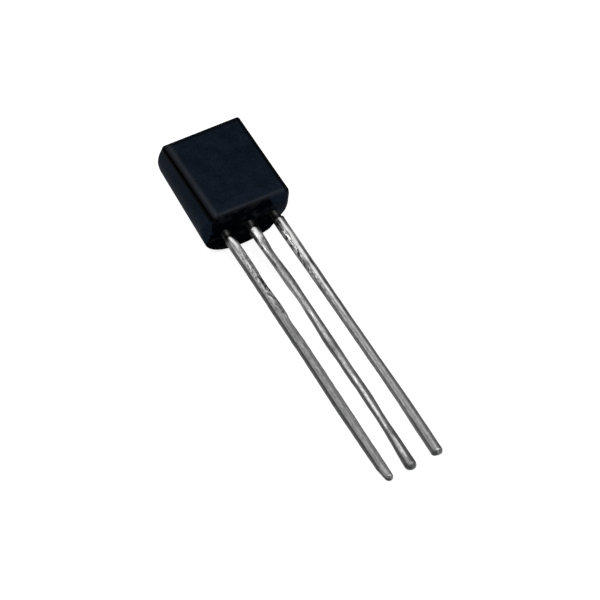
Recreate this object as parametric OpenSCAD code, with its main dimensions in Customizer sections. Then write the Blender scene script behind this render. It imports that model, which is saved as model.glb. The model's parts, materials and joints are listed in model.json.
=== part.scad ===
// Small-signal transistor in a moulded three-lead case, lying on its round back as it comes to rest.
// It is drawn upright: X across the flat, Y from the flat to the back, Z up, leads pointing down.
// The last section turns it over to the resting pose.

/* [Moulded body] */
// Width of the flat front over its sharp corners
flat_w = 4.03; // [3.7:0.01:4.1]
// Height of the flat front over its sharp corners
flat_h = 4.72; // [4.2:0.02:5.2]
// Depth from the flat to the plane where the two mould halves meet
parting_depth = 1.15; // [1:0.01:1.3]
// Draft of the steep side walls next to the flat, degrees
wall_draft = 1.5; // [0.5:0.1:2.5]
// Draft of both ends of the front half, degrees
front_end_draft = 3; // [2:0.5:8]
// Draft of both ends of the round back, degrees
back_end_draft = 11.5; // [6:0.5:18]
// Fillet round the edges of the flat
flat_fillet = 0.2; // [0.08:0.01:0.3]
// Rounding of the front half's corners, seen from the front
front_corner_r = 0.3; // [0.1:0.01:0.5]

/* [Round back] */
// Radius of the round back at the lead end
back_r_lead_end = 2.26; // [2.12:0.01:2.4]
// Radius of the round back at the top end
back_r_top = 2.09; // [2.04:0.01:2.2]
// Depth of the round back's axis below the flat at the lead end
back_axis_lead_end = 1.22; // [1.1:0.02:1.5]
// Depth of the round back's axis below the flat at the top end
back_axis_top = 1.06; // [0.9:0.02:1.2]
// Rounding of the round back's corners at the lead end, seen from the front
low_corner_r = 0.7; // [0.3:0.01:0.9]
// Rounding of the round back's corners at the top end, seen from the front
top_corner_r = 0.12; // [0.05:0.01:0.3]

/* [Leads] */
// Distance between neighbouring leads where they leave the body
lead_pitch = 1.27; // [1.2:0.01:1.35]
// Width of the bare strip, across the flat
strip_w = 0.36; // [0.3:0.01:0.4]
// Thickness of the bare strip
strip_t = 0.3; // [0.26:0.01:0.33]
// Width of a lead with its solder coat
lead_w = 0.47; // [0.43:0.01:0.55]
// Thickness of a lead with its solder coat
lead_t = 0.4; // [0.37:0.01:0.45]
// Rounding of the long edges of the solder coat
lead_edge_r = 0.15; // [0.08:0.01:0.16]
// Bare length between the body and the solder coat
coat_gap = 0.4; // [0.2:0.05:0.8]
// Rounding of the solder coat where it starts
coat_r = 0.1; // [0.04:0.01:0.15]
// Free length of the left lead
left_free_l = 15.25; // [12:0.05:20]
// Free length of the middle lead
middle_free_l = 15.2; // [12:0.05:20]
// Free length of the right lead
right_free_l = 14.92; // [12:0.02:20]
// Lean of the outer leads towards the round back, degrees
outer_lean = 1.6; // [0:0.05:3]
// Lean of the middle lead towards the round back, degrees
middle_lean = 1.4; // [0:0.05:3]
// Sideways lean of the left lead, towards -X, degrees
left_splay = 0.12; // [-1:0.02:1]
// Sideways lean of the middle lead, towards -X, degrees
middle_splay = 0.14; // [-1:0.02:1]
// Sideways lean of the right lead, towards -X, degrees
right_splay = -0.54; // [-1:0.02:1]

/* [Lead tips] */
// Angle at which the left tip narrows on its outer side, degrees
left_taper = 7; // [4:0.5:12]
// Radius of the small round drop on the left tip
left_tip_r = 0.17; // [0.14:0.01:0.2]
// Radius of the solder drop on the middle tip
drop_r = 0.27; // [0.24:0.01:0.32]
// Length over which the middle lead swells into its drop
drop_l = 2.4; // [1:0.1:4]
// Rounding of the right tip
right_tip_r = 0.11; // [0.05:0.01:0.2]

/* [Lead frame inside] */
// Height of the shoulder where the outer leads widen into bond posts
post_z = 1.55; // [1.2:0.05:1.8]
// Width of a bond post
post_w = 0.75; // [0.6:0.01:0.85]
// Height of a bond post
post_h = 1.25; // [0.8:0.05:1.6]
// Sideways shift of a bond post, away from the middle lead
post_shift = 0.06; // [0:0.01:0.12]
// Height of the shoulder where the middle lead widens into the die pad
pad_z = 2; // [1.6:0.05:2.3]
// Width of the die pad
pad_w = 1.3; // [1.1:0.02:1.4]
// Height of the die pad
pad_h = 1.7; // [1.4:0.05:2]

/* [Die and bond wires] */
// Side of the square die
die_w = 0.5; // [0.35:0.01:0.7]
// Thickness of the die
die_t = 0.2; // [0.15:0.01:0.25]
// Height of the die's centre above the foot of the die pad
die_up = 0.85; // [0.6:0.05:1.1]
// Diameter of a bond wire
wire_d = 0.05; // [0.04:0.005:0.08]
// Rise of a bond wire's loop above the die
loop_rise = 0.22; // [0.18:0.01:0.3]
// Bend radius of a bond wire's loop
loop_bend_r = 0.12; // [0.09:0.01:0.15]
// Distance of each bond from the die's centre line
bond_off = 0.12; // [0.1:0.01:0.16]
// Height of the bonds on the posts above the foot of the post
post_bond_up = 0.8; // [0.4:0.05:1.1]
// Diameter of the ball where a wire is bonded to the die
ball_d = 0.11; // [0.09:0.01:0.13]
// Thickness of that ball
ball_t = 0.04; // [0.02:0.01:0.05]

/* [Hidden] */
$fn = 64;
epoxy = [0.06, 0.08, 0.11];
solder = [0.72, 0.73, 0.74];
silicon = [0.35, 0.37, 0.42];
gold = [0.83, 0.69, 0.32];

// Half sizes of the front half at the flat and at the parting plane
flat_half_w = flat_w / 2;
flat_half_h = flat_h / 2;
parting_half_w = flat_half_w + parting_depth * tan(wall_draft);
parting_half_h = flat_half_h + parting_depth * tan(front_end_draft);
body_h = 2 * parting_half_h;

// The round back is a cone about a tilted axis
back_tilt = atan((back_axis_lead_end - back_axis_top) / body_h);
back_axis_l = body_h / cos(back_tilt);
back_taper = atan((back_r_lead_end - back_r_top) / back_axis_l);
back_reach = 2 * back_r_lead_end + back_axis_lead_end;
// The back's outline seen from the front stands a little clear of the cone's sides
outline_clear = 0.05;

// Lowest point of the back: where its back line meets the drafted lead end
end_slope = tan(back_end_draft);
rim_s = (end_slope * (back_axis_lead_end - parting_depth + back_r_lead_end * cos(back_tilt))
    - back_r_lead_end * sin(back_tilt))
    / (cos(back_tilt) - tan(back_taper) * sin(back_tilt)
    + end_slope * (sin(back_tilt) + tan(back_taper) * cos(back_tilt)));
rim_back_r = back_r_lead_end - rim_s * tan(back_taper);
rim_depth = back_axis_lead_end - rim_s * sin(back_tilt) + rim_back_r * cos(back_tilt);
rim_z = rim_s * cos(back_tilt) + rim_back_r * sin(back_tilt);

// The lead frame lies behind the parting plane, and the outer tips rest on the floor
lead_depth = parting_depth + strip_t / 2;
// The outline of a lead, seen from the front, stands a little clear of its sides
lead_clear = 0.01;
lead_half_w = lead_w / 2 + lead_clear;
// The swelling above the middle drop touches the drop and ends inside the lead
drop_end_r = lead_t / 2 - lead_clear;
drop_slope = asin(drop_r / norm([drop_l, drop_end_r])) - atan(drop_end_r / drop_l);
// Where the narrowing side of the left tip touches its drop, and where it starts
left_drop_x = lead_half_w - left_tip_r;
left_touch = [left_drop_x - left_tip_r * cos(left_taper), left_tip_r - left_tip_r * sin(left_taper)];
left_taper_l = left_touch[1] + (lead_half_w + left_touch[0]) / tan(left_taper);
tip_depth = lead_depth + lead_t / 2 * cos(outer_lean) + left_free_l * sin(outer_lean);
tip_z = left_free_l * cos(outer_lean);
rest_tilt = atan((rim_depth - tip_depth) / (rim_z + tip_z));
rest_lift = rim_depth * cos(rest_tilt) - rim_z * sin(rest_tilt);
// The part is centred on its length
top_y = body_h * cos(rest_tilt) + parting_depth * sin(rest_tilt);
tip_y = -tip_z * cos(rest_tilt) + tip_depth * sin(rest_tilt);
rest_shift = -(top_y + tip_y) / 2;

// Where the bond wires start and end, as X and Z on the front of the lead frame
die_z = pad_z + die_up;
post_bond_z = post_z + post_bond_up;
post_x = lead_pitch + post_shift;
die_front = parting_depth - die_t;
loop_front = die_front - loop_rise;
overlap = 0.3;

// A drafted outline along +Y from a front edge with two rounded corners
module drafted_front(front_half, back_half, depth, fillet) {
    draft = atan((back_half - front_half) / depth);
    centre = front_half + fillet * tan(draft) - fillet / cos(draft);
    wall = [centre + fillet * cos(draft), fillet - fillet * sin(draft)];
    polygon([[-centre, 0], [centre, 0], wall, [back_half, depth],
        [-back_half, depth], [-wall[0], wall[1]]]);
    for (side = [-1, 1])
        translate([side * centre, fillet])
            circle(fillet);
}

// The same outline from its back edge
module drafted_back(front_half, back_half, depth, fillet) {
    translate([0, depth])
        mirror([0, 1])
            drafted_front(back_half, front_half, depth, fillet);
}

// Front view of the body, from the lead end up, as a bar along Y with its corners rounded
module front_bar(low, high, low_r, high_r) {
    rotate([90, 0, 0])
        linear_extrude(2 * back_reach, center = true)
            intersection() {
                drafted_front(low, high, body_h, low_r);
                drafted_back(low, high, body_h, high_r);
            }
}

// Side view of the body: both ends are drafted from the parting plane, front and back
module side_profile() {
    drafted_front(flat_half_h, parting_half_h, parting_depth, flat_fillet);
    far_half = parting_half_h - (back_reach - parting_depth) * end_slope;
    polygon([[-parting_half_h, parting_depth], [parting_half_h, parting_depth],
        [far_half, back_reach], [-far_half, back_reach]]);
}

// The cone of the round back, cut off inside the front half where the fillet of the flat ends
module round_back() {
    intersection() {
        translate([0, back_axis_lead_end, 0])
            rotate([back_tilt, 0, 0])
                translate([0, 0, -overlap])
                    cylinder(h = back_axis_l + 2 * overlap, r1 = back_r_lead_end + overlap * tan(back_taper),
                        r2 = back_r_top - overlap * tan(back_taper));
        translate([-back_reach, flat_fillet, -overlap])
            cube([2 * back_reach, back_reach, body_h + 2 * overlap]);
    }
}

module body_solid() {
    intersection() {
        translate([0, 0, parting_half_h])
            rotate([0, -90, 0])
                linear_extrude(2 * back_reach, center = true)
                    side_profile();
        union() {
            intersection() {
                front_bar(parting_half_w, parting_half_w, front_corner_r, front_corner_r);
                translate([0, 0, -overlap])
                    linear_extrude(body_h + 2 * overlap)
                        drafted_front(flat_half_w, parting_half_w, parting_depth, flat_fillet);
            }
            intersection() {
                front_bar(back_r_lead_end + outline_clear, back_r_top + outline_clear,
                    low_corner_r, top_corner_r);
                round_back();
            }
        }
    }
}

// Section of a solder-coated lead: a rectangle with rounded edges
module lead_section() {
    square([lead_w - 2 * lead_edge_r, lead_t], center = true);
    square([lead_w, lead_t - 2 * lead_edge_r], center = true);
    for (x = [-1, 1], y = [-1, 1])
        translate([x * (lead_w / 2 - lead_edge_r), y * (lead_t / 2 - lead_edge_r)])
            circle(lead_edge_r);
}

// Flat shape stamped from the strip, on the lead frame's plane
module stamped(place, foot, w, h) {
    translate([place - w / 2, parting_depth, foot])
        cube([w, strip_t, h]);
}

// A bare strip from a shoulder inside the body into the solder coat, which children make and which leans
module lead(place, shoulder, lean, splay) {
    stamped(place, -coat_gap - overlap, strip_w, shoulder + coat_gap + 2 * overlap);
    translate([place, lead_depth, 0])
        rotate([lean, 0, 0])
            rotate([0, splay, 0])
                children();
}

// The solder coat of a lead with a free length l; children draw its tip as seen from the front
module solder_coat(l) {
    coat_l = l - coat_gap;
    translate([0, 0, -l])
        intersection() {
            translate([0, 0, -overlap])
                linear_extrude(l)
                    lead_section();
            rotate([90, 0, 0])
                linear_extrude(2 * lead_w, center = true)
                    intersection() {
                        children();
                        drafted_back(lead_half_w, lead_half_w, coat_l, coat_r);
                    }
        }
}

module left_tip() {
    polygon([left_touch, [lead_half_w, left_tip_r], [lead_half_w, left_free_l],
        [-lead_half_w, left_free_l], [-lead_half_w, left_taper_l]]);
    translate([left_drop_x, left_tip_r])
        circle(left_tip_r);
}

// The drop on the middle tip and the swelling above it, about the lead's axis
module middle_drop() {
    rotate_extrude()
        intersection() {
            translate([0, -drop_r])
                square([drop_r, drop_r + drop_l]);
            union() {
                circle(drop_r);
                polygon([[0, 0], [drop_r * cos(drop_slope), drop_r * sin(drop_slope)],
                    [drop_end_r, drop_l], [0, drop_l]]);
            }
        }
}

module outer_post(side) {
    stamped(side * post_x, post_z, post_w, post_h);
}

module left_lead() {
    outer_post(-1);
    lead(-lead_pitch, post_z, outer_lean, left_splay)
        solder_coat(left_free_l)
            left_tip();
}

module middle_lead() {
    stamped(0, pad_z, pad_w, pad_h);
    lead(0, pad_z, middle_lean, middle_splay) {
        solder_coat(middle_free_l - drop_r)
            drafted_front(lead_half_w, lead_half_w, middle_free_l, coat_r);
        translate([0, 0, drop_r - middle_free_l])
            middle_drop();
    }
}

module right_lead() {
    outer_post(1);
    lead(lead_pitch, post_z, outer_lean, right_splay)
        solder_coat(right_free_l)
            drafted_front(lead_half_w, lead_half_w, right_free_l, right_tip_r);
}

module die_block() {
    translate([-die_w / 2, die_front, die_z - die_w / 2])
        cube([die_w, die_t, die_w]);
}

// A wire that rises from the die, runs level and comes down on a post
module wire(start, finish) {
    span = finish - start;
    run = norm(span);
    translate([start[0], loop_front, start[1]])
        rotate([0, -atan2(span[1], span[0]), 0]) {
            translate([loop_bend_r, 0, 0])
                rotate([0, 90, 0])
                    cylinder(h = run - 2 * loop_bend_r, d = wire_d);
            wire_bend();
            translate([run, 0, 0])
                mirror([1, 0, 0])
                    wire_bend();
            wire_leg(loop_rise);
            translate([0, loop_rise - ball_t, 0])
                rotate([-90, 0, 0])
                    cylinder(h = ball_t, d = ball_d);
            translate([run, 0, 0])
                wire_leg(loop_rise + die_t);
        }
}

module wire_bend() {
    translate([loop_bend_r, loop_bend_r, 0])
        rotate([0, 0, 180])
            rotate_extrude(angle = 90)
                translate([loop_bend_r, 0])
                    circle(d = wire_d);
}

module wire_leg(drop) {
    translate([0, loop_bend_r, 0])
        rotate([-90, 0, 0])
            cylinder(h = drop - loop_bend_r, d = wire_d);
}

module left_wire() {
    wire([-bond_off, die_z - bond_off], [-post_x, post_bond_z]);
}

module right_wire() {
    wire([bond_off, die_z + bond_off], [post_x, post_bond_z]);
}

// Turns the upright part onto its round back and lead tips
module at_rest() {
    translate([0, rest_shift, rest_lift])
        rotate([rest_tilt - 90, 0, 0])
            children();
}

module moulded_body() {
    color(epoxy)
        at_rest()
            difference() {
                body_solid();
                left_lead();
                middle_lead();
                right_lead();
                die_block();
                left_wire();
                right_wire();
            }
}

module emitter_lead() {
    color(solder)
        at_rest()
            left_lead();
}

module collector_lead() {
    color(solder)
        at_rest()
            middle_lead();
}

module base_lead() {
    color(solder)
        at_rest()
            right_lead();
}

module transistor_die() {
    color(silicon)
        at_rest()
            die_block();
}

module emitter_bond_wire() {
    color(gold)
        at_rest()
            left_wire();
}

module base_bond_wire() {
    color(gold)
        at_rest()
            right_wire();
}

moulded_body();
emitter_lead();
collector_lead();
base_lead();
transistor_die();
emitter_bond_wire();
base_bond_wire();
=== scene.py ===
import json
import math
import bpy
import numpy as np
from mathutils import Matrix, Vector


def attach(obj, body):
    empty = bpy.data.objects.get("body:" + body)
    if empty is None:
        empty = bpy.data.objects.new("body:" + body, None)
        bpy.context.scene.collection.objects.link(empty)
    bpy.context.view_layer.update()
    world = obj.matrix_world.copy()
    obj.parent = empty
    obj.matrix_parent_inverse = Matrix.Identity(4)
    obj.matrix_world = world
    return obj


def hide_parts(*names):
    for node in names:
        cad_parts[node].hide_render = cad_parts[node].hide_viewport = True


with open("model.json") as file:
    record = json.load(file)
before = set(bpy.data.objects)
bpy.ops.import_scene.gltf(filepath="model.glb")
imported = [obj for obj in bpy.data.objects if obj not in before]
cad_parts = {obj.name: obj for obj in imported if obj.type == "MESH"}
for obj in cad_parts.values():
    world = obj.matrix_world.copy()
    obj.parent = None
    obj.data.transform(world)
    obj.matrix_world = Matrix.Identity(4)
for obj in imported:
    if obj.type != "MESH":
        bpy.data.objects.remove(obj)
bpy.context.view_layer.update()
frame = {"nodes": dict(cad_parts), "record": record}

mm = 0.001


# sine, cosine and tangent of an angle in degrees
def sinOf(degrees):
    return math.sin(math.radians(degrees))


def cosOf(degrees):
    return math.cos(math.radians(degrees))


def tanOf(degrees):
    return math.tan(math.radians(degrees))


# sizes are in millimetres on the upright part: x across the flat, y from the flat to the back, z up;
# the last two lines are for the grid and the rays that find the surface
body = dict(flatW=4.03, flatH=4.72, partingDepth=1.15, wallDraft=1.5, frontDraft=3.0, backDraft=11.5,
            flatFillet=0.2, frontCornerR=0.3, backRLow=2.26, backRTop=2.09, axisLow=1.22, axisTop=1.06,
            lowCornerR=0.7, topCornerR=0.12, outlineClear=0.05, edgeR=0.045, creaseR=0.07,
            breakTurn=26.6, breakReach=2.38, breakSlope=0.6, breakR=0.05,
            step=0.045, boxHalfW=2.3, boxDepth=3.5, boxClear=0.01, middleY=1.7, rayFrom=0.2, rayTo=1.1,
            halvings=34, evenShare=0.55, endShare=0.45)
bodyH = body["flatH"] + 2 * body["partingDepth"] * tanOf(body["frontDraft"])

# the flat's mount in the record says how the part lies
flatMount = next(m for m in frame["record"]["mounts"] if m["name"] == "marking_flat")
restTilt = math.atan2(-flatMount["axis"][1], flatMount["axis"][2])
restShift = flatMount["pos_m"][1] / mm - bodyH / 2 * math.cos(restTilt)
restLift = flatMount["pos_m"][2] / mm - bodyH / 2 * math.sin(restTilt)


# upright millimetres to the row frame in metres: a turn about X onto the round back, then a shift
def layDown(points):
    x, y, z = points[:, 0], points[:, 1], points[:, 2]
    return np.stack([x, y * math.sin(restTilt) + z * math.cos(restTilt) + restShift,
                     z * math.sin(restTilt) - y * math.cos(restTilt) + restLift], 1) * mm


# the larger of two distances, with a fillet of radius r where both are near zero
def roundMax(a, b, r):
    return np.minimum(np.maximum(a, b), -r) + np.hypot(np.maximum(a + r, 0), np.maximum(b + r, 0))


# a smooth step from 0 at the first place to 1 at the second
def smoothStep(value, first, second):
    t = np.clip((value - first) / (second - first), 0, 1)
    return t * t * (3 - 2 * t)


# a bell that is 1 at its place and falls off over its width
def bell(value, place, width):
    return np.exp(-((value - place) / width) ** 2)


# signed distance to the moulded body: the flat's prism joined to a tilted cone, less a small broken place
# of the rim, cut by the drafted ends and by the flat
def bodyDistance(x, y, z):
    b = body
    fromMiddle = np.abs(z - bodyH / 2) - bodyH / 2
    back = y - b["partingDepth"]
    wall = (np.abs(x) - b["flatW"] / 2 - y * tanOf(b["wallDraft"])) * cosOf(b["wallDraft"])
    partingHalfW = b["flatW"] / 2 + b["partingDepth"] * tanOf(b["wallDraft"])
    front = roundMax(np.abs(x) - partingHalfW, fromMiddle, b["frontCornerR"])
    prism = np.maximum(np.maximum(wall, back), front)
    tilt = math.atan((b["axisLow"] - b["axisTop"]) / bodyH)
    off = (y - b["axisLow"]) * math.cos(tilt) + z * math.sin(tilt)
    rise = z * math.cos(tilt) - (y - b["axisLow"]) * math.sin(tilt)
    cone = np.hypot(x, off) - b["backRLow"] - (b["backRTop"] - b["backRLow"]) * rise * math.cos(tilt) / bodyH
    cornerR = np.where(z < bodyH / 2, b["lowCornerR"], b["topCornerR"])
    halfW = b["outlineClear"] + b["backRLow"] + (b["backRTop"] - b["backRLow"]) * z / bodyH
    cone = roundMax(cone, roundMax(np.abs(x) - halfW, fromMiddle, cornerR), b["edgeR"])
    side = -roundMax(-prism, -cone, b["creaseR"])
    broken = x * cosOf(b["breakTurn"]) + y * sinOf(b["breakTurn"]) - b["breakReach"] - z * b["breakSlope"]
    side = roundMax(side, broken / math.hypot(1, b["breakSlope"]), b["breakR"])
    end = roundMax((fromMiddle - back * tanOf(b["frontDraft"])) * cosOf(b["frontDraft"]),
                   (fromMiddle + back * tanOf(b["backDraft"])) * cosOf(b["backDraft"]), b["creaseR"])
    return roundMax(roundMax(side, end, b["edgeR"]), -y, b["flatFillet"])


# an object of that name for a mesh, lamp or camera, linked into the scene
def intoScene(name, data):
    thing = bpy.data.objects.new(name, data)
    bpy.context.scene.collection.objects.link(thing)
    return thing


# points of a mesh and its quads, welded where patches meet, put into an object at the origin
def meshPiece(name, points, quads, caps=()):
    _, first, spot = np.unique(np.round(points, 9), axis=0, return_index=True, return_inverse=True)
    spot = spot.reshape(-1)
    faces = spot[quads].tolist() + [spot[cap].tolist() for cap in caps]
    mesh = bpy.data.meshes.new(name)
    mesh.from_pydata(points[first].tolist(), [], faces)
    mesh.polygons.foreach_set("use_smooth", np.ones(len(faces), bool))
    mesh.update()
    return intoScene(name, mesh), spot


# a value per point, kept on the welded vertices under the layer's name
def paintLayer(piece, spot, layer, value):
    vertexValue = np.zeros(len(piece.data.vertices))
    vertexValue[spot] = value.reshape(-1)
    piece.data.attributes.new(layer, "FLOAT", "POINT").data.foreach_set("value", vertexValue)


# quads of a grid of rows by columns, the columns closed to a ring if asked
def gridQuads(rows, columns, ring=False, start=0):
    i, j = np.meshgrid(np.arange(rows - 1), np.arange(columns if ring else columns - 1), indexing="ij")
    k = (j + 1) % columns
    return start + np.stack([i * columns + j, i * columns + k, (i + 1) * columns + k, (i + 1) * columns + j],
                            -1).reshape(-1, 4)


# numbers from -1 to 1, closer together towards both ends: a straight line mixed with a sine
def tightEnds(count):
    t = np.linspace(-1, 1, count)
    return body["evenShare"] * t + body["endShare"] * np.sin(t * math.pi / 2)


# the body as a surface of two parameters on each side of a box: a ray from the middle of the body
# through each grid point of the box is halved until the signed distance along it is zero
def bodySurface():
    clear = body["boxClear"]
    low = np.array([-body["boxHalfW"], -clear, -clear])
    high = np.array([body["boxHalfW"], body["boxDepth"], bodyH + clear])
    middle = np.array([0, body["middleY"], bodyH / 2])
    counts = np.ceil((high - low) / body["step"]).astype(int) + 1
    axes = [low[i] + (high[i] - low[i]) * (tightEnds(counts[i]) + 1) / 2 for i in range(3)]
    points, quads, total = [], [], 0
    for fixed in range(3):
        u, v = [i for i in range(3) if i != fixed]
        for place in (low[fixed], high[fixed]):
            gridU, gridV = np.meshgrid(axes[u], axes[v], indexing="ij")
            patch = np.full(gridU.shape + (3,), place)
            patch[..., u], patch[..., v] = gridU, gridV
            faces = gridQuads(counts[u], counts[v], start=total)
            outward = (place == high[fixed]) == (fixed != 1)
            quads.append(faces[:, ::-1] if outward else faces)
            points.append(patch.reshape(-1, 3))
            total += gridU.size
    ray = np.concatenate(points) - middle
    near, far = np.full(total, body["rayFrom"]), np.full(total, body["rayTo"])
    for _ in range(body["halvings"]):
        half = (near + far) / 2
        p = middle + ray * half[:, None]
        outside = bodyDistance(p[:, 0], p[:, 1], p[:, 2]) > 0
        far, near = np.where(outside, half, far), np.where(outside, near, half)
    return middle + ray * near[:, None], np.concatenate(quads)


# a procedural material: a principled shader, with a helper that adds nodes and one that wires them
# to the shader
def newMaterial(name):
    material = bpy.data.materials.new(name)
    material.use_nodes = True
    tree = material.node_tree
    shader = tree.nodes["Principled BSDF"]

    def add(kind, links=(), **values):
        node = tree.nodes.new(kind)
        for key, value in values.items():
            if key.startswith("in_"):
                node.inputs[int(key[3:])].default_value = value
            else:
                setattr(node, key, value)
        for socket, source in dict(links).items():
            tree.links.new(source, node.inputs[socket])
        return node

    def wire(source, socket):
        tree.links.new(source, shader.inputs[socket])

    return material, shader, add, wire


noiseSpan = (0.3, 0.7)  # most values of a noise lie in here
bumpHeight = 0.00002  # metres


# the place on the piece, in metres
def objectPlace(add):
    return add("ShaderNodeTexCoord").outputs["Object"]


# the value painted on the piece under that name
def layerNode(add, layer):
    return add("ShaderNodeAttribute", attribute_name=layer).outputs["Fac"]


# a noise from 0 to 1, scale to the unit of its place
def noiseNode(add, place, scale, detail):
    noise = add("ShaderNodeTexNoise", {"Vector": place})
    noise.inputs["Scale"].default_value = scale
    noise.inputs["Detail"].default_value = detail
    return noise.outputs["Fac"]


# noise drawn out along the lead: u and v of the lead's own layer at their own scales
def leadNoise(add, scale, detail):
    uv = add("ShaderNodeUVMap", uv_map="lead_run").outputs["UV"]
    stretch = add("ShaderNodeMapping", {"Vector": uv})
    stretch.inputs["Scale"].default_value = scale
    return noiseNode(add, stretch.outputs["Vector"], 1.0, detail)


# a straight line that takes the given span to the wanted one and stops at its ends
def rangeNode(add, source, given, wanted):
    return add("ShaderNodeMapRange", {0: source}, in_1=given[0], in_2=given[1],
               in_3=wanted[0], in_4=wanted[1]).outputs["Result"]


# a sum or product of two values
def mathNode(add, operation, first, second):
    return add("ShaderNodeMath", {0: first, 1: second}, operation=operation).outputs[0]


# a colour times a value
def scaleNode(add, color, factor):
    return add("ShaderNodeVectorMath", {0: color, "Scale": factor}, operation="SCALE").outputs[0]


# a colour that passes from the low one to the high one, each given with its place
def rampNode(add, source, low, high):
    ramp = add("ShaderNodeValToRGB", {0: source})
    for element, (position, color) in zip(ramp.color_ramp.elements, (low, high)):
        element.position, element.color = position, color + (1,)
    return ramp.outputs["Color"]


# a normal tilted by the slope of a height
def bumpNode(add, height, strength):
    bump = add("ShaderNodeBump", {"Height": height})
    bump.inputs["Strength"].default_value = strength
    bump.inputs["Distance"].default_value = bumpHeight
    return bump.outputs["Normal"]


epoxyGrain = dict(scale=14000, speckle=(0.5, 1.5), highlightAndHazeTint=(0.0125, 0.0122, 0.0115))


# moulded epoxy: cloudy navy black, a fine blasted grain, gloss that varies from place to place
def epoxyMaterial(name, dark, light, specular, rough, grain, cloudScale=1600, span=noiseSpan):
    material, shader, add, wire = newMaterial(name)
    place = objectPlace(add)
    cloud = noiseNode(add, place, cloudScale, 5)
    color = rampNode(add, cloud, (span[0], dark), (span[1], light))
    fine = noiseNode(add, place, epoxyGrain["scale"], 4)
    speckle = rangeNode(add, fine, noiseSpan, epoxyGrain["speckle"])
    # one painted layer darkens the colour with painted shade; another adds a painted highlight and a lighter
    # haze in a grey tint
    shaded = scaleNode(add, color, mathNode(add, "MULTIPLY", speckle, layerNode(add, "shade")))
    highlighted = add("ShaderNodeVectorMath", {0: layerNode(add, "highlightAndHaze"), 2: shaded}, operation="MULTIPLY_ADD")
    highlighted.inputs[1].default_value = epoxyGrain["highlightAndHazeTint"]
    wire(highlighted.outputs[0], "Base Color")
    wire(rangeNode(add, cloud, noiseSpan, rough), "Roughness")
    wire(bumpNode(add, fine, grain), "Normal")
    shader.inputs["Specular IOR Level"].default_value = specular
    return material


# in the order of their places on the body: flat, sides, edge round the flat, lead end; the edge and the lead
# end are darker copies of the epoxy, painted shade
epoxyFinishes = [dict(name="flat_epoxy", dark=(0.0024, 0.0046, 0.0088), light=(0.0042, 0.0076, 0.0142),
                      specular=0.03, rough=(0.46, 0.54), grain=0.3),
                 dict(name="side_epoxy", dark=(0.0016, 0.0046, 0.0104), light=(0.0040, 0.0080, 0.0154),
                      specular=0.014, rough=(0.55, 0.65), grain=0.35),
                 dict(name="painted_shade_rim_epoxy", dark=(0.0008, 0.0012, 0.0020),
                      light=(0.0014, 0.0020, 0.0032), specular=0.004, rough=(0.3, 0.4), grain=0.1),
                 dict(name="painted_shade_lead_end_epoxy", dark=(0.0008, 0.0012, 0.0023), light=(0.0100, 0.0115, 0.0135),
                      specular=0.0, rough=(0.3, 0.4), grain=0.08, cloudScale=2600, span=(0.5, 0.75))]

# spans start where the paint is absent and end where it is full; the painted highlights are a place and a
# width
paint = dict(frontY=(0.1, 0.24), darkLeft=(0.22, 0.07), darkRight=(0.29, 0.18), darkTop=(0.34, 0.22),
             topShare=0.7, darkness=0.9, lowLift=0.22, liftSpan=(1.3, 0.3), leftHighlight=(0.27, 0.12),
             leftHighlightLow=(-0.1, 0.1), lowHighlight=(0.085, 0.085), lowHighlightShare=0.75, highlightSides=(0.1, 0.3),
             haze=0.16, hazeZ=(3.0, 4.4), hazeX=(-1.4, -2.0), hazeY=(0.2, 0.6))


# painted shade along the flat's left, right and top edges, widest at the right and top, and a painted
# highlight along its left and lower edges, from the distance of each point to the four edges of the flat; the
# flat gets brighter towards its lower edge, and a lighter haze lies at the top of the left side
def bodyPaint(points):
    x, y, z = points.T
    p = paint
    fromLeft, fromRight = body["flatW"] / 2 + x, body["flatW"] / 2 - x
    fromLow = z - (bodyH - body["flatH"]) / 2
    fromTop = body["flatH"] - fromLow
    front = 1 - smoothStep(y, *p["frontY"])
    darkSides = np.maximum(smoothStep(fromLeft, *p["darkLeft"]), smoothStep(fromRight, *p["darkRight"]))
    dark = np.maximum(darkSides, p["topShare"] * smoothStep(fromTop, *p["darkTop"]))
    shade = (1 + p["lowLift"] * smoothStep(fromLow, *p["liftSpan"])) * (1 - p["darkness"] * dark * front)
    leftHighlight = bell(fromLeft, *p["leftHighlight"]) * smoothStep(fromLow, *p["leftHighlightLow"])
    lowHighlight = p["lowHighlightShare"] * bell(fromLow, *p["lowHighlight"]) * smoothStep(fromLeft, *p["highlightSides"])
    highlightAndHaze = front * np.maximum(leftHighlight, lowHighlight) * smoothStep(fromRight, *p["highlightSides"])
    haze = p["haze"] * smoothStep(z, *p["hazeZ"]) * smoothStep(x, *p["hazeX"]) * smoothStep(y, *p["hazeY"])
    return dict(shade=shade, highlightAndHaze=highlightAndHaze + haze)


print("moulded body")
uprightPoints, bodyQuads = bodySurface()
bodyPiece, bodySpot = meshPiece("body_shell", layDown(uprightPoints), bodyQuads)
for finish in epoxyFinishes:
    bodyPiece.data.materials.append(epoxyMaterial(**finish))
for layer, value in bodyPaint(uprightPoints).items():
    paintLayer(bodyPiece, bodySpot, layer, value)
corners = uprightPoints[bodyQuads]
normals = np.cross(corners[:, 2] - corners[:, 0], corners[:, 3] - corners[:, 1])
normals /= np.linalg.norm(normals, axis=1)[:, None] + 1e-12
middles = corners.mean(1)
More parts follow.
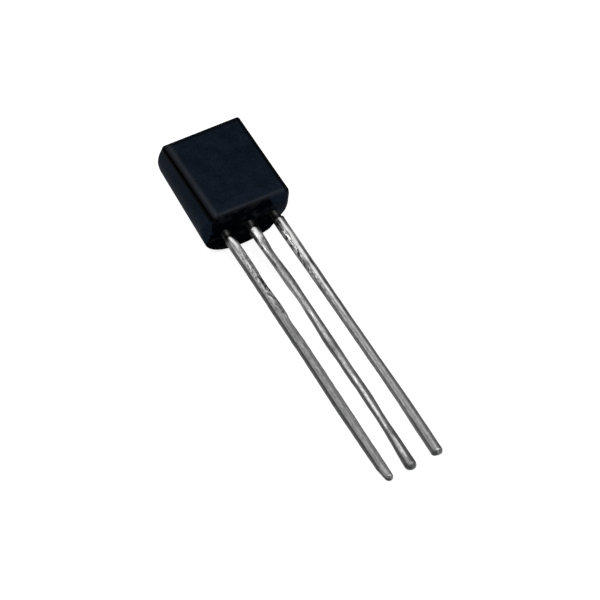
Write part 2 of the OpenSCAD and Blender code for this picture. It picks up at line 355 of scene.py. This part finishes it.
# the lead end is black with painted shade and the outer half of the flat's rim dark with painted shade; the
# right of the lead end takes the lighter side epoxy, a painted reflection
zones = dict(reflectionX=1.0, reflectionSlope=0.37, reflectionY=0.18, reflectionFacing=-0.3, endFacing=-0.85,
             rimFacing=-0.77, rimY=0.3)
reflectionPatchEdge = zones["reflectionX"] + zones["reflectionSlope"] * (middles[:, 1] - zones["reflectionY"])
reflectionPatch = (middles[:, 0] > reflectionPatchEdge) & (normals[:, 2] < zones["reflectionFacing"])
endFace = (normals[:, 2] < zones["endFacing"]) & ~reflectionPatch
nearFlat = middles[:, 1] < zones["rimY"]
rim = (normals[:, 1] > zones["rimFacing"]) & nearFlat & ~reflectionPatch
flatFace = (normals[:, 1] <= zones["rimFacing"]) & nearFlat
zone = np.where(endFace, 3, np.where(rim, 2, np.where(flatFace, 0, 1)))  # places in epoxyFinishes
bodyPiece.data.polygons.foreach_set("material_index", zone)
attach(bodyPiece, "root")
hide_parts("moulded_body")
inward = np.sum(normals * (middles - [0, body["middleY"], bodyH / 2]), 1) < 0
print("body faces", len(bodyQuads), "inward", int(inward.sum()))


fineAlong = np.linspace(-4, 17, 2101)  # hundredths of a millimetre, from inside the body to past the tips


# a smooth curve through a few places and values along the lead: straight pieces under a moving average,
# whose window is counted in hundredths of a millimetre
def along(places, values, s, window=121):
    raw = np.interp(fineAlong, places, values)
    weight = np.hanning(window)
    padded = np.pad(raw, window // 2, mode="edge")
    return np.interp(s, fineAlong, np.convolve(padded, weight / weight.sum(), mode="valid"))


waves = dict(count=26, length=(0.35, 2.6), height=(0.3, 1.0), turns=4, share=4.0)


# uneven solder: a sum of waves that run along and round the lead, about zero
def solderLumps(s, turn, seed, size):
    draw = np.random.default_rng(seed)
    total = np.zeros(np.broadcast(s, turn).shape)
    for _ in range(waves["count"]):
        length = draw.uniform(*waves["length"])
        total += draw.uniform(*waves["height"]) * length ** 0.5 * np.cos(
            2 * math.pi * (s / length + draw.uniform()) + draw.integers(0, waves["turns"]) * turn)
    return size * total / waves["share"]


# the leads have in common: strip and coat sizes, mesh steps, how the coat starts and how the tips end
lead = dict(depth=1.3, stripHalfW=0.18, stripHalfT=0.15, stripSquare=14, halfW=0.235, halfT=0.2,
            coatGap=0.4, coatRise=0.14, coatSag=0.22, sagPlace=0.1, sagPower=1.5, lumpFade=0.5,
            edgeSide=(0.3, 0.9), ring=0.022, around=56, stripRings=12, stripStart=0.05, tipL=0.3, tipRings=26,
            leastHalf=0.002, postGap=1e-4, facing=-114.0, tipSlant=0.16, slantL=0.4)
tips = dict(taper=dict(rim=0.17, length=0.85, narrow=0.065, shift=0.06, square=2.2),
            drop=dict(rim=0.27, length=2.2, power=1.6, halfW=0.285, halfT=0.262, square=2, squareFrom=1.5),
            cut=dict(rim=0.15))
tones = dict(runWindow=41, greyWindow=61, edgeWindow=21, strip=(0.3, 0.36), stripShadeAlong=(1.0, 2.2), least=0.02,
             tipShadeAt=([0, 0.15, 0.6, 1.5], [0.1, 0.2, 0.55, 1]), tipShadePower=(0.4, 0.6), tipShadeSide=(0.5, -0.2))

# places along a lead are in millimetres from the body, and places across it go from -1 at its left to 1
# at its right; the curve across each lead holds a painted highlight and painted shade towards the long edges;
# each run is a bright or dark streak or spot, partly marks of the solder and partly painted highlight,
# reflection and shade, and frost makes it matte
leftLead = dict(name="emitter_lead_solder", node="emitter_lead", x=-1.27, lean=1.6, splay=0.12, free=15.21,
                shoulder=1.55, postX=-1.33, postHalfW=0.375, postH=1.25, tip="taper", seed=11, lumps=0.014,
                square=3.4, polish=0.0,
                widthAt=([0.4, 1, 3, 6, 9, 10.5, 12.5, 13.7, 15.3],
                         [1.0, 1.06, 1.045, 1.075, 1.08, 1.13, 1.07, 1.03, 1.04]),
                sideAt=([0, 2, 5, 8, 10, 12.5, 13.7, 15.3],
                        [0, 0.022, 0.012, 0.02, -0.005, -0.005, 0.005, 0]),
                crossAt=([-1, -0.72, -0.55, -0.4, -0.23, -0.07, 0.1, 0.26, 0.43, 0.6, 0.75, 1],
                         [0.05, 0.05, 0.07, 0.21, 0.38, 0.6, 0.86, 0.97, 0.88, 0.58, 0.6, 0.75]),
                greyAt=([0, 0.5, 1, 1.8, 3, 4, 15], [0.6, 0.75, 0.69, 0.65, 0.58, 0.52, 0.52]),
                runs=[dict(at=([0.3, 0.4, 0.6, 0.9], [0, -1.0, -0.9, 0]), place=0.95, width=0.36),
                      dict(at=([0.3, 0.4, 0.6, 0.8], [0, -0.3, -0.25, 0]), place=-0.25, width=0.3),
                      dict(at=([0.38, 0.45, 0.6, 0.75], [0, 1.3, 1.3, 0]), place=0.2, width=0.27, frost=0.95),
                      dict(at=([0.55, 0.7, 1.0, 1.25], [0, 1.0, 0.85, 0]), place=0.46, width=0.24, frost=0.9),
                      dict(at=([0.6, 0.7, 0.9, 1.1], [0, 0.15, 0.15, 0]), place=-0.55, width=0.3),
                      dict(at=([0.9, 1.1, 1.4, 1.8], [0, 0.25, 0.25, 0]), place=0.62, width=0.2),
                      dict(at=([1, 1.3, 1.9, 2.2], [0, 0.14, 0.14, 0]), place=-0.2, width=0.3),
                      dict(at=([1, 1.3, 1.9, 2.2], [0, 0.2, 0.2, 0]), place=0.4, width=0.3),
                      dict(at=([1.55, 1.7, 2.0, 2.15], [0, 0.25, 0.25, 0]), place=0.6, width=0.2),
                      dict(at=([1.9, 2.3, 3, 4.2, 5, 7.9, 8.6, 9.6], [0, 0.52, 0.46, 0.2, 0, 0, 0.12, 0]),
                           place=0.23, width=0.24, frost=0.5),
                      dict(at=([2.6, 2.75, 3.1, 3.25], [0, 0.28, 0.28, 0]), place=0.14, width=0.2),
                      dict(at=([2.9, 3.05, 3.45, 3.6], [0, -0.45, -0.45, 0]), place=0.64, width=0.2),
                      dict(at=([3.8, 3.95, 4.3, 4.4], [0, 0.5, 0.5, 0]), place=0.48, width=0.22),
                      dict(at=([4.1, 4.18, 4.35, 4.45], [0, 0.25, 0.25, 0]), place=0.62, width=0.2),
                      dict(at=([4.4, 4.5, 5.1, 5.3], [0, -0.12, -0.12, 0]), place=0.6, width=0.22),
                      dict(at=([5.4, 5.55, 5.95, 6.1], [0, 0.15, 0.15, 0]), place=0.65, width=0.25),
                      dict(at=([14.4, 14.7, 15.1, 15.3], [0, 0.15, 0.25, 0.4]), place=-0.42, width=0.22)],
                drossAt=([0, 1.1, 1.5, 3, 4.2, 5.4, 15], [0.1, 0.1, 0.6, 0.8, 0.8, 0.3, 0.1]),
                drossSide=(-0.5, 0.1),
                edgeAt=([2.6, 2.9, 3.6, 3.9, 4.2, 4.6, 5.3, 5.5, 6.2, 7],
                        [0, -0.02, -0.025, 0, 0, 0.03, 0.03, -0.02, -0.015, 0]))
middleLead = dict(name="collector_lead_solder", node="collector_lead", x=0.0, lean=1.4, splay=0.14,
                  free=15.15, shoulder=2.0, postX=0.0, postHalfW=0.65, postH=1.7, tip="drop", seed=23,
                  lumps=0.022, square=2.2, polish=1.0,
                  widthAt=([0.4, 1, 2, 3.4, 4.9, 5.7, 7.3, 8.8, 10, 11, 12.5, 13.5, 15.2],
                           [1.06, 1.08, 0.86, 1.0, 0.87, 0.9, 1.06, 0.95, 1.0, 0.99, 0.89, 1.01, 1.12]),
                  sideAt=([0, 2, 2.6, 4.8, 5.9, 7.5, 9, 10.5, 11.5, 13, 15.2],
                          [0, -0.027, 0.01, 0.07, 0.043, 0.02, 0.025, 0.05, 0.033, 0.01, -0.05]),
                  crossAt=([-1, -0.6, -0.42, -0.25, 0, 0.2, 0.38, 0.55, 0.75, 1],
                           [0.36, 0.36, 0.48, 0.78, 1, 1, 0.9, 0.62, 0.6, 0.75]),
                  greyAt=([0, 1.5, 2.2, 3, 12.8, 13.4, 15], [0.5, 0.5, 0.37, 0.34, 0.34, 0.3, 0.3]),
                  runs=[dict(at=([0.28, 0.38, 0.95, 1.25], [0, 1.3, 1.1, 0]),
                             place=0.16, width=0.5, frost=0.9),
                        dict(at=([0.3, 0.4, 0.6, 0.85], [0, -1.0, -0.9, 0]), place=0.9, width=0.38),
                        dict(at=([0.33, 0.42, 0.8, 1.0], [0, 0.4, 0.4, 0]), place=-0.4, width=0.2, frost=0.5),
                        dict(at=([0.5, 0.65, 0.95, 1.25], [0, -0.6, -0.6, 0]), place=-0.9, width=0.4),
                        dict(at=([0.8, 0.95, 1.25, 1.4], [0, 0.45, 0.45, 0]), place=0.6, width=0.22),
                        dict(at=([0.9, 1.2, 1.9, 2.2], [0, 0.34, 0.3, 0]), place=-0.22, width=0.24),
                        dict(at=([1.35, 1.55, 1.8, 1.95], [0, 0.35, 0.35, 0]), place=-0.4, width=0.2),
                        dict(at=([1.9, 2.1, 2.5, 2.6], [0, 0.3, 0.3, 0]), place=0.68, width=0.22),
                        dict(at=([1.9, 2.4, 3.1, 3.6, 5, 5.4, 6.9, 7.3, 8, 8.5, 9.2, 9.6],
                                 [0, 0.02, 0.22, 0.22, 0.36, 0.85, 0.75, 0.06, 0.16, 0.62, 0.4, 0]),
                             place=0.25, width=0.24, frost=0.45),
                        dict(at=([2.6, 3.1, 5.2, 5.8], [0, 0.22, 0.22, 0]), place=-0.6, width=0.25),
                        dict(at=([4.0, 4.2, 6.0, 6.2], [0, -0.14, -0.14, 0]), place=0.3, width=0.18),
                        dict(at=([4.1, 4.3, 4.55, 4.7], [0, 0.25, 0.25, 0]), place=-0.35, width=0.18),
                        dict(at=([6.8, 7.2, 7.6, 8.0], [0, -0.08, -0.08, 0]), place=-0.1, width=0.3),
                        dict(at=([7.0, 7.12, 7.4, 7.6], [0, 0.4, 0.4, 0]), place=0.14, width=0.25),
                        dict(at=([7.7, 7.85, 8.25, 8.4], [0, -0.16, -0.2, 0]), place=-0.05, width=0.2),
                        dict(at=([8.2, 8.4, 9.2, 9.4], [0, 0.15, 0.15, 0]), place=0.75, width=0.2),
                        dict(at=([8.55, 8.65, 8.95, 9.05], [0, 0.14, 0.14, 0]), place=0.1, width=0.2),
                        dict(at=([9.1, 9.6, 12.05, 12.4], [0, 0.75, 1.0, 0]),
                             place=0.12, width=0.2, frost=0.62),
                        dict(at=([10.5, 10.7, 11.2, 11.4], [0, -0.12, -0.12, 0]), place=0.12, width=0.18),
                        dict(at=([12.2, 12.35, 12.65, 12.8], [0, 0.35, 0.35, 0]), place=0.08, width=0.22),
                        dict(at=([12.8, 12.9, 13.1, 13.2], [0, -0.14, -0.14, 0]), place=-0.1, width=0.2),
                        dict(at=([13.2, 13.5, 14.4, 14.7], [0, 0.85, 0.75, 0]),
                             place=0.24, width=0.16, frost=0.6),
                        dict(at=([14.3, 14.45, 14.7, 14.8], [0, -0.14, -0.14, 0]), place=0, width=0.35)],
                  drossAt=([0, 0.8, 1.4, 2, 5.4, 5.8, 7, 8, 15],
                           [0.1, 0.2, 0.8, 0.3, 0.2, 0.25, 0.25, 0.2, 0.15]),
                  drossSide=(-2, -1.5), edgeAt=([0, 15], [0, 0]))
rightLead = dict(name="base_lead_solder", node="base_lead", x=1.27, lean=1.6, splay=-0.54, free=14.88,
                 shoulder=1.55, postX=1.33, postHalfW=0.375, postH=1.25, tip="cut", seed=37, lumps=0.012,
                 square=3.0, polish=0.0,
                 widthAt=([0.4, 1, 3, 5.5, 6.5, 7.5, 9, 11, 13, 15],
                          [1.11, 1.13, 1.09, 1.01, 0.98, 1.01, 1.0, 1.05, 1.13, 1.14]),
                 sideAt=([0, 1, 4, 8, 11.5, 15], [0, -0.012, 0.0, 0.01, 0.028, -0.028]),
                 crossAt=([-1, -0.7, -0.52, -0.35, -0.17, 0, 0.17, 0.35, 0.52, 0.7, 0.87, 1],
                          [0.17, 0.22, 0.42, 0.52, 0.56, 0.68, 0.95, 1.22, 0.93, 0.38, 0.36, 0.6]),
                 greyAt=([0.4, 0.7, 1.1, 1.4, 3.3, 4.6, 15], [0.25, 0.28, 0.55, 0.9, 0.9, 0.54, 0.48]),
                 runs=[dict(at=([0.34, 0.44, 1.2, 2, 2.3, 3, 4.2, 5.2, 6.2, 7],
                                [0, 0.9, 0.6, 0.6, 0.65, 0.68, 0.62, 0.46, 0.26, 0]),
                            place=0.3, width=0.22, frost=0.7),
                       dict(at=([0.4, 0.5, 0.9, 1.2], [0, 0.5, 0.5, 0]), place=0.44, width=0.17, frost=0.6),
                       dict(at=([0.55, 0.65, 0.8, 0.9], [0, -0.35, -0.35, 0]), place=-0.05, width=0.22),
                       dict(at=([0.8, 0.92, 1.9, 2.4], [0, 0.6, 0.5, 0]), place=-0.3, width=0.24, frost=0.3),
                       dict(at=([0.9, 1.2, 1.9, 2.2], [0, 0.4, 0.4, 0]), place=0.55, width=0.2),
                       dict(at=([1.2, 1.35, 1.6, 1.75], [0, -1.0, -1.0, 0]), place=0.19, width=0.25),
                       dict(at=([1.6, 2.1, 3.2, 4, 6.2, 6.8], [0, -0.22, -0.2, -0.1, -0.1, 0]),
                            place=0.68, width=0.2),
                       dict(at=([2.1, 2.22, 2.5, 2.62], [0, -0.2, -0.2, 0]), place=-0.12, width=0.14),
                       dict(at=([2.3, 2.4, 2.6, 2.75], [0, 0.5, 0.5, 0]), place=-0.48, width=0.2),
                       dict(at=([2.75, 2.9, 3.3, 3.4], [0, -0.3, -0.3, 0]), place=-0.3, width=0.2),
                       dict(at=([2.8, 3, 4.5, 4.7], [0, -0.28, -0.15, 0]), place=0.48, width=0.24),
                       dict(at=([3.0, 3.12, 3.35, 3.5], [0, -0.75, -0.75, 0]), place=0.24, width=0.35),
                       dict(at=([3.3, 3.4, 3.6, 3.7], [0, -0.2, -0.2, 0]), place=-0.2, width=0.2),
                       dict(at=([3.5, 3.65, 4.05, 4.25], [0, 0.8, 0.7, 0]), place=-0.44, width=0.17),
                       dict(at=([4.25, 4.4, 4.6, 4.75], [0, -0.22, -0.22, 0]), place=0.32, width=0.3),
                       dict(at=([5.0, 5.2, 5.35, 5.5, 6.5, 6.65, 6.9, 7],
                                [0, 0.12, 0.12, 0, 0, 0.12, 0.12, 0]),
                            place=-0.48, width=0.2),
                       dict(at=([6.1, 6.3, 7.0, 7.2], [0, -0.1, -0.1, 0]), place=0.5, width=0.2),
                       dict(at=([12.3, 13.2, 14.6, 14.9], [0, -0.08, -0.08, 0]), place=-0.4, width=0.4),
                       dict(at=([12.3, 13.2, 14.6, 14.9], [0, 0.07, 0.07, 0]), place=0.5, width=0.35)],
                 drossAt=([0, 0.4, 1, 2.5, 4.2, 5.5, 8, 15], [0.9, 0.95, 0.9, 0.95, 0.8, 0.4, 0.2, 0.15]),
                 drossSide=(0.15, -0.3), edgeAt=([0, 15], [0, 0]))


# the place across the lead for a turn round it: the sine of the turn from the side that faces up and left
def acrossLead(turn):
    return np.sin(turn - math.radians(lead["facing"]))


# brightness of the solder, painted light and shade together with marks of the solder: a grey that changes
# along the lead times its curve across, with painted shade towards the long edges, plus the runs, each a bell
# across the lead whose strength changes along it; the bare strip has a painted lit streak and painted shade
# towards the body, and the end of the tip has painted shade, darker on its left
def solderTone(k, s, turn):
    across = acrossLead(turn)[None]
    run = np.zeros((len(s), len(turn)))
    frost = np.zeros((len(s), len(turn)))
    for one in k["runs"]:
        streak = along(*one["at"], s, tones["runWindow"])[:, None] * bell(across, one["place"], one["width"])
        run += streak
        frost += streak * one.get("frost", 0)
    tone = along(*k["greyAt"], s, tones["greyWindow"])[:, None] * np.interp(across, *k["crossAt"]) + run
    # the bare strip: a painted lit streak across it and painted shade towards the body
    strip = bell(across, *tones["strip"]) * np.interp(s, [0, lead["coatGap"]], tones["stripShadeAlong"])[:, None]
    tone = np.where((s < lead["coatGap"])[:, None], strip, tone)
    # painted shade at the end of the tip, darker on its left
    end = np.interp((k["free"] - s) / tips[k["tip"]]["rim"], *tones["tipShadeAt"])[:, None]
    end = end ** (tones["tipShadePower"][0] + tones["tipShadePower"][1] * smoothStep(across, *tones["tipShadeSide"]))
    dross = along(*k["drossAt"], s, tones["greyWindow"])[:, None] * smoothStep(across, *k["drossSide"])
    return dict(tone=np.maximum(tone, tones["least"]) * end, run=run * k["polish"],
                frost=np.clip(frost, 0, 1), dross=dross)


# a lead as a profile carried along its path: a rounded rectangle whose half sizes, squareness and
# centre change along the path, pushed in and out by the lumps of the solder coat
def leadSurface(k):
    tip = tips[k["tip"]]
    top, gap, tipL = -k["shoulder"], lead["coatGap"], lead["tipL"]
    s = np.concatenate([[top - k["postH"], top - lead["postGap"], top],
                        np.linspace(top + lead["stripStart"], gap, lead["stripRings"])[:-1],
                        np.arange(gap, k["free"] - tipL, lead["ring"]),
                        k["free"] - tipL * np.cos(np.linspace(0, 1, lead["tipRings"]) * math.pi / 2)])
    post = s < top  # the wide post or pad inside the body
    coat = np.clip((s - lead["coatGap"]) / lead["coatRise"], 0, 1)
    coat = np.sqrt(1 - (1 - coat) ** 2)
    width = along(*k["widthAt"], s)
    stripW, stripT = lead["stripHalfW"], lead["stripHalfT"]
    halfW = np.where(post, k["postHalfW"], stripW + (lead["halfW"] * width - stripW) * coat)
    halfT = np.where(post, stripT, stripT + (lead["halfT"] * width - stripT) * coat)
    square = lead["stripSquare"] + (k["square"] - lead["stripSquare"]) * coat
    toTip = k["free"] - s
    tipShift = np.zeros_like(s)
    if k["tip"] == "taper":
        narrow = np.clip(1 - toTip / tip["length"], 0, 1)
        halfW = halfW - tip["narrow"] * narrow
        tipShift = tip["shift"] * narrow
        square = square + (tip["square"] - square) * narrow
    elif k["tip"] == "drop":
        swell = np.clip(1 - (toTip - tip["rim"]) / tip["length"], 0, 1) ** tip["power"]
        halfW = halfW + (tip["halfW"] - halfW) * swell
        halfT = halfT + (tip["halfT"] - halfT) * swell
        square = square + (tip["square"] - square) * np.clip(swell * tip["squareFrom"], 0, 1)
    closing = np.clip(1 - toTip / tip["rim"], 0, 1)
    inset = tip["rim"] * (1 - np.sqrt(np.maximum(1 - closing ** 2, 0)))
    halfW = np.maximum(halfW - inset, lead["leastHalf"])
    halfT = np.maximum(halfT - inset, lead["leastHalf"])
    turn = np.linspace(0, 2 * math.pi, lead["around"], endpoint=False)
    c, d = np.cos(turn)[None], np.sin(turn)[None]
    n = square[:, None]
    radius = (np.abs(c / halfW[:, None]) ** n + np.abs(d / halfT[:, None]) ** n) ** (-1 / n)
    fade = (coat * np.clip(toTip / lead["lumpFade"], 0, 1))[:, None]
    radius = radius * (1 + fade * solderLumps(s[:, None], turn[None], k["seed"], k["lumps"]))
    rightSide = smoothStep(acrossLead(turn), *lead["edgeSide"])[None]
    radius = radius + along(*k["edgeAt"], s, tones["edgeWindow"])[:, None] * rightSide
    out = np.maximum(s, 0)
    centreX = np.where(post, k["postX"], k["x"] - out * sinOf(k["splay"])
                       + along(*k["sideAt"], s) * (s > 0) + tipShift)
    centreY = lead["depth"] + out * sinOf(k["lean"])
    slant = lead["tipSlant"] * np.clip(1 - toTip / lead["slantL"], 0, 1)[:, None]  # ends a little askew
    points = np.stack([centreX[:, None] + radius * c, centreY[:, None] + radius * d,
                       -s[:, None] - slant * radius * c], -1)
    return s, turn, points


# u runs along the lead in millimetres and v once round it, for the quads and then for the two end caps
def leadUv(s, rows, columns):
    column = np.arange(columns + 1) / columns
    i, j = np.meshgrid(np.arange(rows - 1), np.arange(columns), indexing="ij")
    quadCorners = [(s[i + 1], column[j]), (s[i + 1], column[j + 1]), (s[i], column[j + 1]), (s[i], column[j])]
    quadUv = np.stack([np.stack(corner, -1) for corner in quadCorners], 2).reshape(-1, 2)
    capUv = np.stack([np.repeat([s[0], s[-1]], columns), np.tile(column[:-1], 2)], -1)
    return np.concatenate([quadUv, capUv])


solderFinish = dict(runScale=(1.6, 14.0, 1.0), speckScale=(3.6, 12.0, 1.0), spotScale=5200,
                    speckSpan=(0.49, 0.56), vary=(0.78, 1.2), black=(0.02, 0.021, 0.022),
                    white=(0.97, 0.97, 0.965), polishSpan=(0.0, 0.5), gloss=(0.5, 0.34), uneven=(0.85, 1.15),
                    bump=0.2, metallic=(1.0, 0.15))


# hot-dipped solder: the painted brightness, painted light and shade besides marks of the solder, broken up by
# fine runs along the lead and by specks of dross
def solderMaterial(name):
    f = solderFinish
    material, _, add, wire = newMaterial(name)
    runs = leadNoise(add, f["runScale"], 5)
    spots = noiseNode(add, objectPlace(add), f["spotScale"], 4)
    specks = leadNoise(add, f["speckScale"], 3)
    speckled = rangeNode(add, specks, f["speckSpan"], (0.0, 1.0))
    dark = mathNode(add, "MULTIPLY", speckled, layerNode(add, "dross"))
    clean = add("ShaderNodeMath", {1: dark}, operation="SUBTRACT", in_0=1.0, use_clamp=True).outputs[0]
    vary = rangeNode(add, runs, noiseSpan, f["vary"])
    paintedLightAndSpecks = mathNode(add, "MULTIPLY", mathNode(add, "MULTIPLY", layerNode(add, "tone"), vary), clean)
    wire(rampNode(add, paintedLightAndSpecks, (0.0, f["black"]), (1.0, f["white"])), "Base Color")
    gloss = rangeNode(add, layerNode(add, "run"), f["polishSpan"], f["gloss"])
    uneven = rangeNode(add, spots, noiseSpan, f["uneven"])
    wire(mathNode(add, "MULTIPLY", gloss, uneven), "Roughness")
    wire(bumpNode(add, mathNode(add, "ADD", runs, spots), f["bump"]), "Normal")
    wire(rangeNode(add, layerNode(add, "frost"), (0.0, 1.0), f["metallic"]), "Metallic")
    return material


stripFinish = dict(scale=4200, span=(0.32, 0.68), dark=(0.03, 0.03, 0.031), light=(0.2, 0.197, 0.19),
                   rough=(0.6, 0.45), metallic=0.85)


# bare strip between the body and the solder: dull, stained copper alloy with a thin tin wash
def stripMaterial(name):
    f = stripFinish
    material, shader, add, wire = newMaterial(name)
    stain = noiseNode(add, objectPlace(add), f["scale"], 5)
    color = rampNode(add, stain, (f["span"][0], f["dark"]), (f["span"][1], f["light"]))
    # the painted layer gives a painted lit streak across the strip and painted shade towards the body
    wire(scaleNode(add, color, layerNode(add, "tone")), "Base Color")
    wire(rangeNode(add, stain, noiseSpan, f["rough"]), "Roughness")
    shader.inputs["Metallic"].default_value = f["metallic"]
    return material


print("leads")
solder = solderMaterial("dipped_solder")
bareStrip = stripMaterial("bare_strip")
for k in (leftLead, middleLead, rightLead):
    s, turn, points = leadSurface(k)
    rows, columns = points.shape[:2]
    quads = gridQuads(rows, columns, ring=True)[:, ::-1]
    first = np.arange(columns)
    piece, spot = meshPiece(k["name"], layDown(points.reshape(-1, 3)), quads,
                            [first, first[::-1] + (rows - 1) * columns])
    piece.data.materials.append(solder)
    piece.data.materials.append(bareStrip)
    sag = np.abs(acrossLead(turn) - lead["sagPlace"]) ** lead["sagPower"]
    bare = s[:-1, None] < (lead["coatGap"] + lead["coatSag"] * sag)[None]
    piece.data.polygons.foreach_set("material_index", np.append(bare.astype(int).ravel(), [1, 0]))
    piece.data.uv_layers.new(name="lead_run").data.foreach_set("uv", leadUv(s, rows, columns).ravel())
    for layer, value in solderTone(k, s, turn).items():
        paintLayer(piece, spot, layer, value)
    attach(piece, "root")
    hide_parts(k["node"])
    print(k["name"], rows, "rings")


# die and bond wires stay as they are built and get their own finishes
def plainMetal(name, dark, light, rough, metallic):
    material, shader, add, wire = newMaterial(name)
    cloud = noiseNode(add, objectPlace(add), 9000, 4)
    wire(rampNode(add, cloud, (noiseSpan[0], dark), (noiseSpan[1], light)), "Base Color")
    wire(rangeNode(add, cloud, noiseSpan, rough), "Roughness")
    shader.inputs["Metallic"].default_value = metallic
    return material


print("inner pieces")
silicon = plainMetal("polished_silicon", (0.20, 0.22, 0.26), (0.32, 0.34, 0.38), (0.14, 0.24), 0.5)
gold = plainMetal("drawn_gold", (0.74, 0.55, 0.18), (0.86, 0.70, 0.32), (0.22, 0.34), 1.0)
for nodeName, finish in (("transistor_die", silicon), ("emitter_bond_wire", gold), ("base_bond_wire", gold)):
    node = frame["nodes"][nodeName]
    node.data.materials.clear()
    node.data.materials.append(finish)


# the way from the part to a camera or lamp: azimuth 0 is on the side of the lead tips, -Y
def wayTo(azimuth, elevation):
    return Vector((-sinOf(azimuth) * cosOf(elevation), -cosOf(azimuth) * cosOf(elevation), sinOf(elevation)))


print("stage")
view = dict(azimuth=31.54, elevation=47.27, roll=2.51, target=(0.209, 0.8475, 0.955), lens=1000.0,
            sensor=36.0, spanMm=27.0)
towards = wayTo(view["azimuth"], view["elevation"])
level = Vector((cosOf(view["azimuth"]), -sinOf(view["azimuth"]), 0))
rightward = level * cosOf(view["roll"]) + towards.cross(level) * sinOf(view["roll"])
upward = towards.cross(rightward)
cameraData = bpy.data.cameras.new("camera")
cameraData.sensor_width = view["sensor"]
cameraData.lens = view["lens"]
distance = view["spanMm"] * mm * view["lens"] / view["sensor"]
camera = intoScene("camera", cameraData)
turned = Matrix((rightward, upward, towards)).transposed().to_4x4()
camera.matrix_world = Matrix.Translation(Vector(view["target"]) * mm + towards * distance) @ turned
bpy.context.scene.camera = camera

# a grey floor that looks white, itself and in reflections, and keeps the part's shadow
stage = dict(reach=3.0, glow=0.74, grey=(0.5, 0.5, 0.5, 1), roomStrength=0.5)
floorMesh = bpy.data.meshes.new("floor")
reach = stage["reach"]
floorMesh.from_pydata([(-reach, -reach, 0), (reach, -reach, 0), (reach, reach, 0), (-reach, reach, 0)],
                      [], [(0, 1, 2, 3)])
floor = intoScene("floor", floorMesh)
floorPaint, floorShader, add, _ = newMaterial("pale_floor")
paths = add("ShaderNodeLightPath").outputs
seen = mathNode(add, "ADD", paths["Is Camera Ray"], paths["Is Glossy Ray"])
seenAll = add("ShaderNodeMath", {0: seen, 1: paths["Is Transmission Ray"]}, operation="ADD", use_clamp=True)
strength = add("ShaderNodeMath", {0: seenAll.outputs[0]}, operation="MULTIPLY", in_1=stage["glow"])
glow = add("ShaderNodeEmission", {"Strength": strength.outputs[0]})
glow.inputs["Color"].default_value = (1, 1, 1, 1)
matte = add("ShaderNodeBsdfDiffuse")
matte.inputs["Color"].default_value = stage["grey"]
both = add("ShaderNodeAddShader", {0: matte.outputs[0], 1: glow.outputs[0]})
floorTree = floorPaint.node_tree
floorTree.links.new(both.outputs[0], floorTree.nodes["Material Output"].inputs["Surface"])
floorTree.nodes.remove(floorShader)
floorMesh.materials.append(floorPaint)

lamps = [dict(name="key_softbox", azimuth=42, elevation=56, distance=0.30, size=0.16, power=0.36),
         dict(name="right_softbox", azimuth=-46, elevation=58, distance=0.30, size=0.14, power=0.36),
         dict(name="back_softbox", azimuth=150, elevation=47, distance=0.30, size=0.14, power=0.34)]
for lamp in lamps:
    lightData = bpy.data.lights.new(lamp["name"], "AREA")
    lightData.shape = "DISK"
    lightData.size = lamp["size"]
    lightData.energy = lamp["power"]
    light = intoScene(lamp["name"], lightData)
    way = wayTo(lamp["azimuth"], lamp["elevation"])
    aim = way.to_track_quat("Z", "Y").to_matrix().to_4x4()
    light.matrix_world = Matrix.Translation(way * lamp["distance"]) @ aim

world = bpy.data.worlds.new("soft_room")
bpy.context.scene.world = world
world.use_nodes = True
background = world.node_tree.nodes["Background"]
background.inputs["Color"].default_value = stage["grey"]
background.inputs["Strength"].default_value = stage["roomStrength"]

bpy.context.scene.view_settings.view_transform = "Standard"
